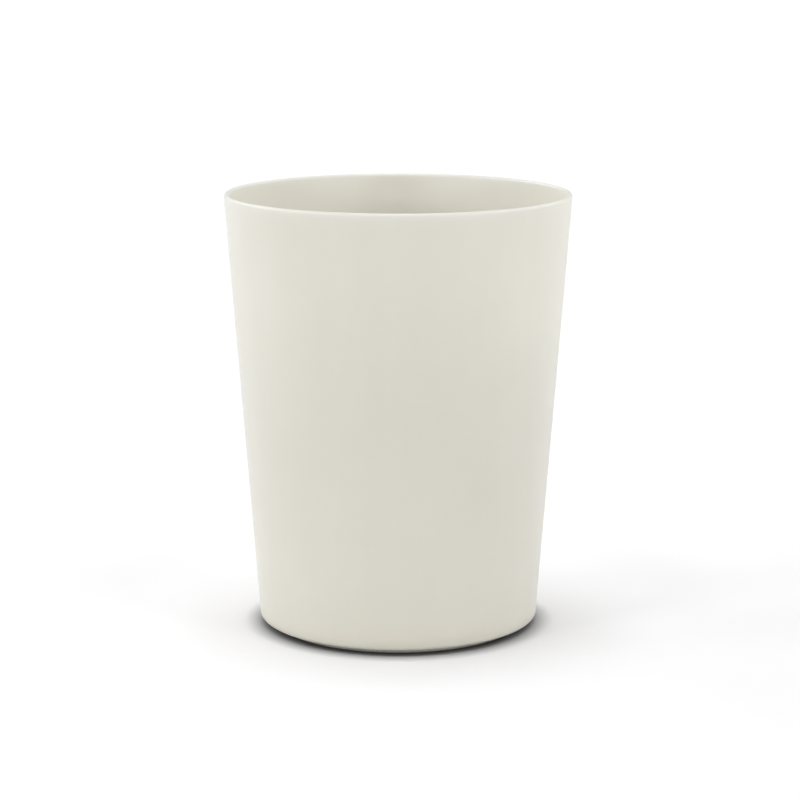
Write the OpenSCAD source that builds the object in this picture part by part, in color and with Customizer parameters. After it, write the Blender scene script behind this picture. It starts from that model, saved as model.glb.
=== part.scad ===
// Reusable drinking cup, moulded in one piece: a tapered round wall with a full-round lip,
// a flat floor and a low foot ring set in under it. The origin is where the cup's axis meets
// the table, with +Z up.

/* [Cup] */
// Widest diameter, across the outside of the lip
rim_d = 80; // [76:1:110]
// Diameter where the straight outside of the wall would reach the underside of the body
base_d = 65; // [50:0.2:72]
// Height of the whole cup, from the table to the top of the lip
height = 101.2; // [70:0.2:160]

/* [Wall and floor] */
// Thickness of the wall, measured square to it; the lip is rounded over this thickness
wall_t = 1.25; // [0.8:0.05:2.5]
// Thickness of the floor
floor_t = 1.8; // [1.2:0.1:4]
// Rounding outside, where the wall meets the underside of the body
base_r = 1; // [0.5:0.1:2]
// Rounding inside, where the wall meets the floor
inner_r = 3.5; // [1:0.1:8]

/* [Foot ring] */
// Height of the foot ring, which lifts the body off the table
foot_h = 1.3; // [1:0.1:4]
// How far the foot ring is set in from the edge of the body
foot_inset = 3; // [2.6:0.1:8]
// Width of the foot ring
foot_w = 2; // [1.4:0.1:5]
// Rounding of the foot ring's two lower edges
foot_edge_r = 0.4; // [0.2:0.1:0.6]
// Fillet where the foot ring grows out of the underside
foot_root_r = 0.3; // [0.1:0.1:0.4]

/* [Gate mark] */
// Diameter of the shallow well in the underside, where the plastic was fed into the mould
well_d = 9; // [7:0.5:14]
// Depth of the well
well_depth = 0.6; // [0.3:0.1:1]
// Diameter of the small stub that is left in the well where the feed broke off
stub_d = 2; // [1:0.1:3]
// Length of the stub
stub_h = 0.35; // [0.1:0.05:0.6]

/* [Hidden] */
$fn = 180;

arc_steps = 10;
foot_r = base_d / 2 - foot_inset;
floor_z = foot_h + floor_t;

// The wall leans outwards by this angle, so that its outside touches both the base circle
// and the round of the lip
lip_r = wall_t / 2;
lip_centre = [rim_d / 2 - lip_r, height - lip_r];
lean_run = lip_centre.x - base_d / 2;
lean_rise = lip_centre.y - foot_h;
draft = atan2(lean_run, lean_rise) + asin(lip_r / norm([lean_run, lean_rise]));

// Distance from the axis of a line that runs along the wall, inset from its outside, at height z
function wall_r(z, inset) = base_d / 2 + ((z - foot_h) * sin(draft) - inset) / cos(draft);

// Points on an arc about a centre, from one angle to another
function arc(centre, r, from, to) = [
    for (i = [0 : arc_steps])
        let (a = from + (to - from) * i / arc_steps)
            centre + r * [cos(a), sin(a)]
];

// Half of the cup's section, from the middle of the underside, out round the wall and back in
// along the floor
function cup_section() = concat(
    gate_outline(),
    foot_outline(),
    arc([wall_r(foot_h + base_r, base_r), foot_h + base_r], base_r, -90, -draft),
    arc(lip_centre, lip_r, -draft, 180 - draft),
    arc([wall_r(floor_z + inner_r, wall_t + inner_r), floor_z + inner_r], inner_r, -draft, -90),
    [[0, floor_z]]
);

// The stub and the sloping edge of the well around it
function gate_outline() =
    let (well_z = foot_h + well_depth, stub_z = well_z - stub_h) [
        [0, stub_z],
        [stub_d / 2, stub_z],
        [stub_d / 2, well_z],
        [well_d / 2 - well_depth, well_z],
        [well_d / 2, foot_h]
    ];

// The foot ring, with a fillet at each side of its root and a round on each lower edge
function foot_outline() =
    let (
        root_z = foot_h - foot_root_r,
        inner_x = foot_r - foot_w
    ) concat(
        arc([inner_x - foot_root_r, root_z], foot_root_r, 90, 0),
        arc([inner_x + foot_edge_r, foot_edge_r], foot_edge_r, 180, 270),
        arc([foot_r - foot_edge_r, foot_edge_r], foot_edge_r, -90, 0),
        arc([foot_r + foot_root_r, root_z], foot_root_r, 180, 90)
    );

module cup() {
    color("#dedcd0") rotate_extrude() polygon(cup_section());
}

cup();
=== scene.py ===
# %% [markdown]
# # A reusable cup in moulded polypropylene
#
# The object is a plain drinking cup, moulded in one shot: a wall that leans out by a little over
# four degrees, a lip rounded over the full thickness of the wall, a flat floor, and a low foot
# ring set in under the body. This lesson turns its section into a clean mesh, gives it the satin
# finish of polypropylene, and lights it the way a product studio would.

# %% Load the frame
import math

import bpy
import bmesh
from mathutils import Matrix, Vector


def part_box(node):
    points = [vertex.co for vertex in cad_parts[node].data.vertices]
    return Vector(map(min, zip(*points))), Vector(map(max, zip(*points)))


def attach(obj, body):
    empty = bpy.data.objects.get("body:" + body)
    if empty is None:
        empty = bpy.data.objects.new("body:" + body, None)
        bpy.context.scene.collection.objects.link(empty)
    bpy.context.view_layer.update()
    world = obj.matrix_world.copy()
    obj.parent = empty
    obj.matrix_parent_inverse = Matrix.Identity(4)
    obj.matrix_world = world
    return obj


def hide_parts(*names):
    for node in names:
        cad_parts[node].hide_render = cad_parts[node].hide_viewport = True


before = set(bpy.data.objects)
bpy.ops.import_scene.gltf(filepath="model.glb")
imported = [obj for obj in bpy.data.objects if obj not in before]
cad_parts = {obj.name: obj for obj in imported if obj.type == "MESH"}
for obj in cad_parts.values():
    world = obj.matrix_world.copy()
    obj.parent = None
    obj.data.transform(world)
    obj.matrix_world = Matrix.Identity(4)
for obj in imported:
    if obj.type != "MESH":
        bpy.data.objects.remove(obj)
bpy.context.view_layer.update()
low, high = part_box("cup")
print("Solids in the frame:", len(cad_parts))
print("CAD cup, in mm:", [round(1000 * size, 2) for size in high - low])

# %% [markdown]
# ## The section
#
# A turned form is all in its half section, so that comes first. A modelled cup could start from a
# cylinder that is scaled and inset, but then its wall is only as thick as the eye decides. Here
# the section has the real sizes. The wall is 1.25 mm thick, which is what lets the lip catch the
# light as one thin bright line, and what lets some light through the plastic.

# %% Sizes of the section, in millimetres
MM = 0.001
rim_radius = high.x / MM
height = high.z / MM
base_radius = 32.5
wall_thickness = 1.25
floor_thickness = 1.8
base_round = 1.0
inner_round = 3.5
foot_height = 1.3
foot_inset = 3.0
foot_width = 2.0
foot_edge_round = 0.4
foot_root_fillet = 0.3
well_radius = 4.5
well_depth = 0.6
stub_radius = 1.0
stub_height = 0.35
print("Rim radius and height, from the CAD box:", round(rim_radius, 2), "and", round(height, 2))

# %% Lean of the wall
lip_round = wall_thickness / 2
lip_radius = rim_radius - lip_round
lip_height = height - lip_round
lean_run = lip_radius - base_radius
lean_rise = lip_height - foot_height
lean = math.atan2(lean_run, lean_rise) + math.asin(lip_round / math.hypot(lean_run, lean_rise))
floor_top = foot_height + floor_thickness
print("The wall leans out by", round(math.degrees(lean), 2), "degrees")

# %% [markdown]
# ## Points along the section
#
# The outline is a few straight runs joined by arcs: the round at the foot of the wall, the full
# round of the lip, the wide round inside where the wall meets the floor, and the small edges of
# the foot ring. A Bezier curve could draw it too, but an arc with a centre and a radius is how a
# mould maker states it, and it can be checked with a radius gauge. Straight runs get extra points
# every few millimetres, so that the faces stay close to square.

# %% Arcs and straight runs
def wall_radius(z, inset):
    """Radius, at height z, of a line that runs along the wall, inset from its outside."""
    return base_radius + ((z - foot_height) * math.sin(lean) - inset) / math.cos(lean)


def arc(radius, z, bend, start, end, steps):
    """Points on an arc about (radius, z), from one angle in degrees to another in equal steps."""
    turns = [math.radians(start + (end - start) * step / steps) for step in range(steps + 1)]
    return [(radius + bend * math.cos(turn), z + bend * math.sin(turn)) for turn in turns]


def join(*stretches):
    """One list of points, with a straight run of points wherever two stretches lie apart."""
    ring_gap = 4.0
    points = list(stretches[0])
    for stretch in stretches[1:]:
        start, end = Vector(points[-1]), Vector(stretch[0])
        steps = max(1, round((end - start).length / ring_gap))
        points += [tuple(start.lerp(end, step / steps)) for step in range(1, steps)]
        points += stretch
    return points


print("Radius of the outside of the wall, half way up:", round(wall_radius(height / 2, 0), 2))

# %% The whole half section
def cup_section():
    """From the middle of the underside, round the foot and the wall, to the middle of the floor."""
    slope = math.degrees(lean)
    foot_outer = base_radius - foot_inset
    foot_inner = foot_outer - foot_width
    root = foot_height - foot_root_fillet
    well_top = foot_height + well_depth
    stub_end = well_top - stub_height
    base_z = foot_height + base_round
    inner_z = floor_top + inner_round
    inner_inset = wall_thickness + inner_round
    return join(
        [(0, stub_end)],
        [(stub_radius, stub_end), (stub_radius, well_top)],
        [(well_radius - well_depth, well_top), (well_radius, foot_height)],
        arc(foot_inner - foot_root_fillet, root, foot_root_fillet, 90, 0, 5),
        arc(foot_inner + foot_edge_round, foot_edge_round, foot_edge_round, 180, 270, 6),
        arc(foot_outer - foot_edge_round, foot_edge_round, foot_edge_round, -90, 0, 6),
        arc(foot_outer + foot_root_fillet, root, foot_root_fillet, 180, 90, 5),
        arc(wall_radius(base_z, base_round), base_z, base_round, -90, -slope, 12),
        arc(lip_radius, lip_height, lip_round, -slope, 180 - slope, 16),
        arc(wall_radius(inner_z, inner_inset), inner_z, inner_round, -slope, -90, 14),
        [(0, floor_top)],
    )


section = cup_section()
print("Points in the section:", len(section))

# %% [markdown]
# ## From section to mesh
#
# The Screw modifier or bmesh's spin would turn the section too. Rings of vertices made in a loop
# give the same skin, with one vertex on the axis in place of a heap of doubled ones, so the mesh
# comes out closed and needs no cleaning. 256 sides keep the rim round even in a close view.

# %% Turn the section
def turn_section(name, points, sides):
    """A closed mesh with a ring of vertices for each point, or one vertex on the axis."""
    mesh = bmesh.new()
    turns = [2 * math.pi * side / sides for side in range(sides)]
    rings = []
    for radius, z in points:
        ring_turns = turns if radius > 0 else turns[:1]
        rings.append([
            mesh.verts.new((radius * MM * math.cos(turn), radius * MM * math.sin(turn), z * MM))
            for turn in ring_turns
        ])
    for near, far in zip(rings, rings[1:]):
        for side in range(sides):
            after = (side + 1) % sides
            corners = [near[side % len(near)], near[after % len(near)]]
            corners += [far[after % len(far)], far[side % len(far)]]
            mesh.faces.new(list(dict.fromkeys(corners)))
    bmesh.ops.recalc_face_normals(mesh, faces=mesh.faces)
    data = bpy.data.meshes.new(name)
    mesh.to_mesh(data)
    mesh.free()
    data.polygons.foreach_set("use_smooth", [True] * len(data.polygons))
    turned = bpy.data.objects.new(name, data)
    bpy.context.scene.collection.objects.link(turned)
    return turned


cup = turn_section("cup_body", section, sides=256)
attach(cup, "root")
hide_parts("cup")
print("Faces in the cup:", len(cup.data.polygons))

# %% [markdown]
# ## Helpers for materials
#
# Colours are picked as sRGB hex values, the way they are read off a swatch, but shaders reckon in
# linear light, so one function turns the first into the second. A second small function adds a
# node, sets it and links it in a single statement, which keeps a material as short as its idea.
# A third starts a material and hands over its main shader. The same nodes could be placed by
# hand in the shader editor, but written out they are the same on every run.

# %% Colour and node helpers
def linear(hex_colour):
    """An sRGB hex colour as the linear red, green, blue and alpha that shaders work in."""
    parts = [int(hex_colour[i:i + 2], 16) / 255 for i in (1, 3, 5)]
    return [c / 12.92 if c <= 0.04045 else ((c + 0.055) / 1.055) ** 2.4 for c in parts] + [1.0]


def add_node(material, kind, settings, inputs):
    """A new node with its settings. Each input is a value, or the output of another node."""
    node = material.node_tree.nodes.new(kind)
    for name, value in settings.items():
        setattr(node, name, value)
    for name, value in inputs.items():
        if isinstance(value, bpy.types.NodeSocket):
            material.node_tree.links.new(value, node.inputs[name])
        else:
            node.inputs[name].default_value = value
    return node


def new_material(name):
    """A material and its main shader."""
    material = bpy.data.materials.new(name)
    material.use_nodes = True
    return material, material.node_tree.nodes["Principled BSDF"]


print("Middle grey in linear light:", round(linear("#808080")[0], 3))

# %% [markdown]
# ## Polypropylene, moulded satin
#
# The cup is polypropylene with a warm off-white pigment, moulded in a finely blasted tool. To the
# eye that means three things: a soft sheen with no sharp reflections, a milky depth, because light
# enters the thin wall and comes out some millimetres away, and a surface that is even but not
# dead. A diffuse colour alone looks like chalk, so the light that travels inside the wall is real
# subsurface scattering: that is also what keeps the inside of the cup nearly as bright as the
# outside, because light comes through the wall.

# %% The plastic's own numbers
plastic, plastic_shader = new_material("moulded_polypropylene_satin")
plastic_shader.inputs["IOR"].default_value = 1.49
plastic_shader.inputs["Subsurface Weight"].default_value = 1.0
plastic_shader.inputs["Subsurface Radius"].default_value = (1.0, 1.0, 1.0)
light_travel = 4 * MM
plastic_shader.inputs["Subsurface Scale"].default_value = light_travel
cup.data.materials.append(plastic)
print("Light travels about", light_travel / MM, "mm inside the plastic")

# %% [markdown]
# ### Textures tied to the cup
#
# The unevenness of real plastic comes from how it was moulded. So the textures are tied to the
# cup's own coordinates, and not to a flat map, which would need unwrapping and leave a seam. A
# few kinds of node come back several times, and each gets a small helper.

# %% Nodes that the plastic uses more than once
place = add_node(plastic, "ShaderNodeTexCoord", {}, {}).outputs["Object"]


def vector_maths(operation, *values):
    """The outcome of one step of arithmetic on vectors."""
    inputs = dict(enumerate(values))
    return add_node(plastic, "ShaderNodeVectorMath", {"operation": operation}, inputs).outputs[0]


def noise(vector, scale, detail):
    """A smooth noise from 0 to 1, which hardly ever leaves the range from 0.3 to 0.7."""
    inputs = {"Vector": vector, "Scale": scale, "Detail": detail}
    return add_node(plastic, "ShaderNodeTexNoise", {}, inputs).outputs["Fac"]


def stretch_noise(value, least, most):
    """The usual range of a noise, stretched to run from least to most."""
    inputs = {"Value": value, "From Min": 0.3, "From Max": 0.7, "To Min": least, "To Max": most}
    return add_node(plastic, "ShaderNodeMapRange", {}, inputs).outputs["Result"]


print("Textures are placed by", place.name.lower(), "coordinates")

# %% [markdown]
# ### Where the melt flowed
#
# The mould is filled through one gate under the floor, so the melt runs out from the middle and
# up the wall. The pigment follows it, and leaves lines so faint that they show only as slight
# unevenness. A noise that reads the direction from the axis, and hardly the height, draws them:
# they run outward on the floor and straight up the wall, and meet with no seam.

# %% Flow lines
streak_width = 6.0
streaks_round = 2 * math.pi * rim_radius / streak_width
height_share = 3

# The heading runs round a circle of radius 1, and the whole height of the cup adds only 0.3
flat_place = vector_maths("MULTIPLY", place, (1, 1, 0))
heading = vector_maths("NORMALIZE", flat_place)
slow_height = vector_maths("MULTIPLY", place, (0, 0, height_share))
flow_place = vector_maths("ADD", heading, slow_height)
flow = noise(flow_place, streaks_round / (2 * math.pi), 3.0)
print("Flow lines round the cup:", round(streaks_round))

# %% [markdown]
# ### Pigment
#
# The pigment is mixed into the pellets before they melt, and never spreads quite evenly. Soft
# clouds about two centimetres wide stand for that, with about a third of flow lines mixed in. A
# painted picture could hold both, but noises stay sharp at any distance. The two colours differ
# by only four steps of 255, because the eye should see one colour.

# %% Colour, with slow clouds of pigment
cloud_size = 22 * MM
flow_share = 0.35
dark_pigment = "#E6E3D6"
light_pigment = "#EAE7DA"

# A Mix node has its factor in socket 0, its two numbers in 2 and 3, and its two colours in 6 and 7
clouds = noise(place, 1 / cloud_size, 2.0)
pigment = add_node(
    plastic, "ShaderNodeMix", {"data_type": "FLOAT"},
    {0: flow_share, 2: clouds, 3: flow},
)
shade = stretch_noise(pigment.outputs[0], 0.0, 1.0)
colour = add_node(
    plastic, "ShaderNodeMix", {"data_type": "RGBA"},
    {0: shade, 6: linear(dark_pigment), 7: linear(light_pigment)},
)
plastic.node_tree.links.new(colour.outputs[2], plastic_shader.inputs["Base Color"])
print("Pigment from", dark_pigment, "to", light_pigment)

# %% [markdown]
# ### The blasted surface
#
# The tool's surface is blasted with fine grit, which the plastic copies: bumps of about 0.1 mm
# that no render of the whole cup can show. They are drawn here as 0.5 mm wide, the finest that
# still shows, and kept only a few microns high. Under them lies a slow waviness, a few
# millimetres wide, where the wall shrank a little unevenly as it cooled.

# %% Grain, waviness and sheen
grain_size = 0.5 * MM
grain_height = 0.004 * MM
wave_size = 7 * MM
wave_height = 0.02 * MM
smoothest = 0.33
roughest = 0.39
grain = noise(place, 1 / grain_size, 2.0)
waves = noise(place, 1 / wave_size, 1.0)
wavy = add_node(
    plastic, "ShaderNodeBump", {},
    {"Strength": 1.0, "Distance": wave_height, "Height": waves},
)
grained = add_node(
    plastic, "ShaderNodeBump", {},
    {"Strength": 1.0, "Distance": grain_height, "Height": grain, "Normal": wavy.outputs[0]},
)
sheen = stretch_noise(clouds, smoothest, roughest)
plastic.node_tree.links.new(grained.outputs[0], plastic_shader.inputs["Normal"])
plastic.node_tree.links.new(sheen, plastic_shader.inputs["Roughness"])
print("Nodes in the plastic:", len(plastic.node_tree.nodes))

# %% [markdown]
# ## Camera
#
# The photograph looks a little down into the cup with a long lens. The rim shows as a flat
# ellipse, and the sides still draw together slightly more than the real lean, so the distance is
# about 0.6 m and not far off. The place, tilt and lens below put the cup's outline where the
# photograph has it.

# %% Place the camera
camera_distance = 0.5877
camera_height = 0.1701
camera_pitch = 11.315
camera_yaw = -0.041
camera_lens = 115.5

camera_data = bpy.data.cameras.new("camera")
camera_data.lens = camera_lens
camera_data.sensor_width = 36
camera = bpy.data.objects.new("camera", camera_data)
camera.location = (0, -camera_distance, camera_height)
camera.rotation_euler = (math.radians(90 - camera_pitch), 0, math.radians(camera_yaw))
bpy.context.scene.collection.objects.link(camera)
bpy.context.scene.camera = camera
print("Camera looks down by", camera_pitch, "degrees")

# %% [markdown]
# ## White ground
#
# The cup stands on a white ground that runs out of sight and is a good deal brighter than the
# cup. A curved sheet of paper would do it in a studio. Here two flat sheets do: the camera and
# the reflections see a white one, and the light that comes back up to the cup comes from a
# slightly duller one right under it. The white one glows very faintly, like a milk glass table
# lit from below, which keeps it white far out, and it is a trace bluish, which cancels the warm
# light that the cup throws on it.
#
# Where the foot meets the ground, the photograph is darker than soft light alone makes it. An
# ambient occlusion node paints shade into the colour and glow of both sheets there: it darkens a
# point by the share of its sky that the cup hides within a few millimetres, so the gap under the
# body goes nearly black.

# %% Two sheets of ground
# How far the painted shade around the cup reaches
painted_shade_reach = 5 * MM


def ground_sheet(name, hex_colour, glow, drop):
    """A matte square, 12 m wide, at the level that the cup stands on or lower by the drop, with
    painted shade near the cup.
    """
    half = 6.0
    data = bpy.data.meshes.new(name)
    corners = [(-half, -half, -drop), (half, -half, -drop), (half, half, -drop), (-half, half, -drop)]
    data.from_pydata(corners, [], [(0, 1, 2, 3)])
    paper, paper_shader = new_material(name + "_paper")
    # Painted shade: ambient occlusion darkens the sheet's colour and glow wherever the cup is near
    painted_contact_shade = add_node(
        paper, "ShaderNodeAmbientOcclusion", {"samples": 16},
        {"Color": linear(hex_colour), "Distance": painted_shade_reach},
    )
    for use in ("Base Color", "Emission Color"):
        paper.node_tree.links.new(painted_contact_shade.outputs["Color"], paper_shader.inputs[use])
    paper_shader.inputs["Emission Strength"].default_value = glow
    paper_shader.inputs["Roughness"].default_value = 0.9
    paper_shader.inputs["Specular IOR Level"].default_value = 0.0
    data.materials.append(paper)
    sheet = bpy.data.objects.new(name, data)
    bpy.context.scene.collection.objects.link(sheet)
    return sheet


white_ground = ground_sheet("white_ground", "#FDFDFF", 0.08, 0)
white_ground.visible_diffuse = False
white_ground.visible_shadow = False
white_ground.visible_transmission = False
dull_ground = ground_sheet("dull_ground", "#F1F1F1", 0, 0.1 * MM)
dull_ground.visible_camera = False
dull_ground.visible_glossy = False
print("Sheets of ground:", white_ground.name, "and", dull_ground.name)

# %% [markdown]
# ## Light
#
# The photograph has soft light from all round, as in a light tent: a box overhead, one high
# behind, and an arc of three boxes at each side that fall off toward the back. The left side is
# the stronger one, so the wider and darker shadow lies to the right. In front of each arc stand
# two narrow boxes, a low one and a high one. They are narrow so that the shadows they throw
# behind the cup have a clearer front edge. Two small lamps low in front draw the two faint
# streaks on the far wall inside the cup.
#
# Area lamps would do it, but the ground would then fade with distance. Suns light all of it
# alike, and a sun with a wide angle is as soft as a large box.

# %% Studio lights
def soft_box(name, azimuth, elevation, width, strength):
    """A sun as wide as a box of light. Azimuth 0 is behind the camera, and 90 is at its right."""
    data = bpy.data.lights.new(name, "SUN")
    data.angle = math.radians(width)
    data.energy = strength * math.pi
    box = bpy.data.objects.new(name, data)
    box.rotation_euler = (math.radians(90 - elevation), 0, math.radians(azimuth))
    bpy.context.scene.collection.objects.link(box)


box_width = 26
narrow_width = 12
lamp_width = 10
arc_elevation = 28

# Each is given by its azimuth, elevation and width in degrees, and then its strength
soft_box("overhead_box", 0, 88, box_width, 0.2)
soft_box("high_back_box", 180, 75, box_width, 0.2)
for side, sign, arc_strength in (("left", -1, 0.195), ("right", 1, 0.13)):
    for stand, turn, share in (("front", 80, 1.0), ("side", 110, 0.8), ("back", 140, 0.6)):
        strength = arc_strength * share
        soft_box(f"{side}_{stand}_box", sign * turn, arc_elevation, box_width, strength)
    soft_box(f"{side}_low_narrow_box", sign * 54, 12, narrow_width, 0.12)
    soft_box(f"{side}_high_narrow_box", sign * 48, 62, narrow_width, 0.07)
    soft_box(f"{side}_lamp", sign * 32, 8, lamp_width, 0.105)
print("Lights:", [light.name for light in bpy.data.lights])

# %% [markdown]
# The boxes do the lighting, and the world behind them is the white of the studio. The camera sees
# it in full beyond the edge of the ground. Reflections see half of it, which keeps the top of the
# lip bright at its two ends, where the plastic reflects the most. It gives no other light.

# %% World behind the ground
world = bpy.data.worlds.new("studio")
world.use_nodes = True
beyond = world.node_tree.nodes["Background"]
beyond.inputs["Color"].default_value = (1, 1, 1, 1)
rays = add_node(world, "ShaderNodeLightPath", {}, {})
seen_in_reflections = 0.5
seen = add_node(
    world, "ShaderNodeMath", {"operation": "MULTIPLY_ADD"},
    {0: rays.outputs["Is Glossy Ray"], 1: seen_in_reflections, 2: rays.outputs["Is Camera Ray"]},
)
world.node_tree.links.new(seen.outputs[0], beyond.inputs["Strength"])
bpy.context.scene.world = world
bpy.context.scene.view_settings.view_transform = "Standard"
print("Share of the studio seen in reflections:", seen_in_reflections)
